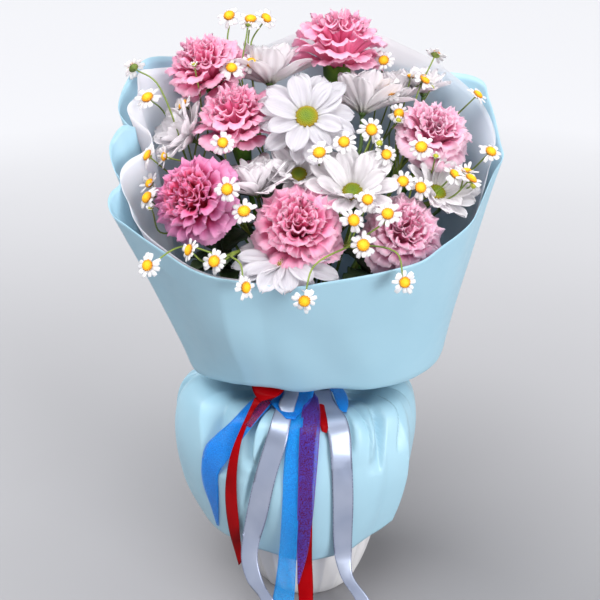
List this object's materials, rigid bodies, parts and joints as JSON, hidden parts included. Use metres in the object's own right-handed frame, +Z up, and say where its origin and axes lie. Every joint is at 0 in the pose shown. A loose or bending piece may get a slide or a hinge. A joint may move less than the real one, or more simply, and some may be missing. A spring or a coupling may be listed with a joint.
{
  "type": "wrapped bunch of carnations in a vase",
  "caption": "Hand-tied bunch of pink carnations with daisy chrysanthemums and chamomile, wrapped in blue paper and film, tied with ribbons and standing in a fluted vase.",
  "frame": {"origin": "centre of the vase's foot, on the surface that it stands on", "axes": "+Z up, +X to the right and -Y to the front, where the ribbons hang and the collar is low"},
  "size_m": [0.3069, 0.2419, 0.4906],
  "materials": {
    "vase_glaze": "white satin glaze",
    "blue_paper": "matt light-blue wrapping paper",
    "milky_film": "milky translucent film",
    "twine": "twisted twine",
    "carnation_petal": "soft pink petals, paler at their edges",
    "daisy_petal": "white petals round a green middle",
    "chamomile_flower": "white rays round a yellow middle, green stems",
    "green_stem": "smooth green stem",
    "green_leaf": "dark green leaf",
    "red_satin": "red satin ribbon",
    "blue_organza": "blue organza ribbon",
    "white_satin": "white satin ribbon",
    "purple_layered": "red satin seen through blue organza"
  },
  "bodies": {
    "root": {"bow_loop_blue": "blue_organza", "bow_loop_red": "red_satin", "carnation_bloom_1": "carnation_petal", "carnation_bloom_2": "carnation_petal", "carnation_bloom_3": "carnation_petal", "carnation_bloom_4": "carnation_petal", "carnation_bloom_5": "carnation_petal", "carnation_bloom_6": "carnation_petal", "carnation_bloom_7": "carnation_petal", "carnation_stem_1": "green_stem", "carnation_stem_2": "green_stem", "carnation_stem_3": "green_stem", "carnation_stem_4": "green_stem", "carnation_stem_5": "green_stem", "carnation_stem_6": "green_stem", "carnation_stem_7": "green_stem", "chamomile_spray_1": "chamomile_flower", "chamomile_spray_2": "chamomile_flower", "chamomile_spray_3": "chamomile_flower", "chamomile_spray_4": "chamomile_flower", "chamomile_spray_5": "chamomile_flower", "chamomile_spray_6": "chamomile_flower", "chamomile_spray_7": "chamomile_flower", "chamomile_spray_8": "chamomile_flower", "chamomile_spray_9": "chamomile_flower", "daisy_head_1": "daisy_petal", "daisy_head_10": "daisy_petal", "daisy_head_11": "daisy_petal", "daisy_head_12": "daisy_petal", "daisy_head_2": "daisy_petal", "daisy_head_3": "daisy_petal", "daisy_head_4": "daisy_petal", "daisy_head_5": "daisy_petal", "daisy_head_6": "daisy_petal", "daisy_head_7": "daisy_petal", "daisy_head_8": "daisy_petal", "daisy_head_9": "daisy_petal", "daisy_stem_1": "green_stem", "daisy_stem_2": "green_stem", "daisy_stem_3": "green_stem", "daisy_stem_4": "green_stem", "daisy_stem_5": "green_stem", "film_liner": "milky_film", "leaf_sprig_1": "green_leaf", "leaf_sprig_2": "green_leaf", "leaf_sprig_3": "green_leaf", "leaf_sprig_4": "green_leaf", "paper_collar": "blue_paper", "paper_skirt": "blue_paper", "ribbon_band": "red_satin", "ribbon_knot": "red_satin", "ribbon_tail_blue_centre": "blue_organza", "ribbon_tail_blue_left": "blue_organza", "ribbon_tail_red_centre": "purple_layered", "ribbon_tail_red_left": "red_satin", "ribbon_tail_white_left": "white_satin", "ribbon_tail_white_right": "white_satin", "stem_tie": "twine", "vase": "vase_glaze"}
  },
  "joints": []
}
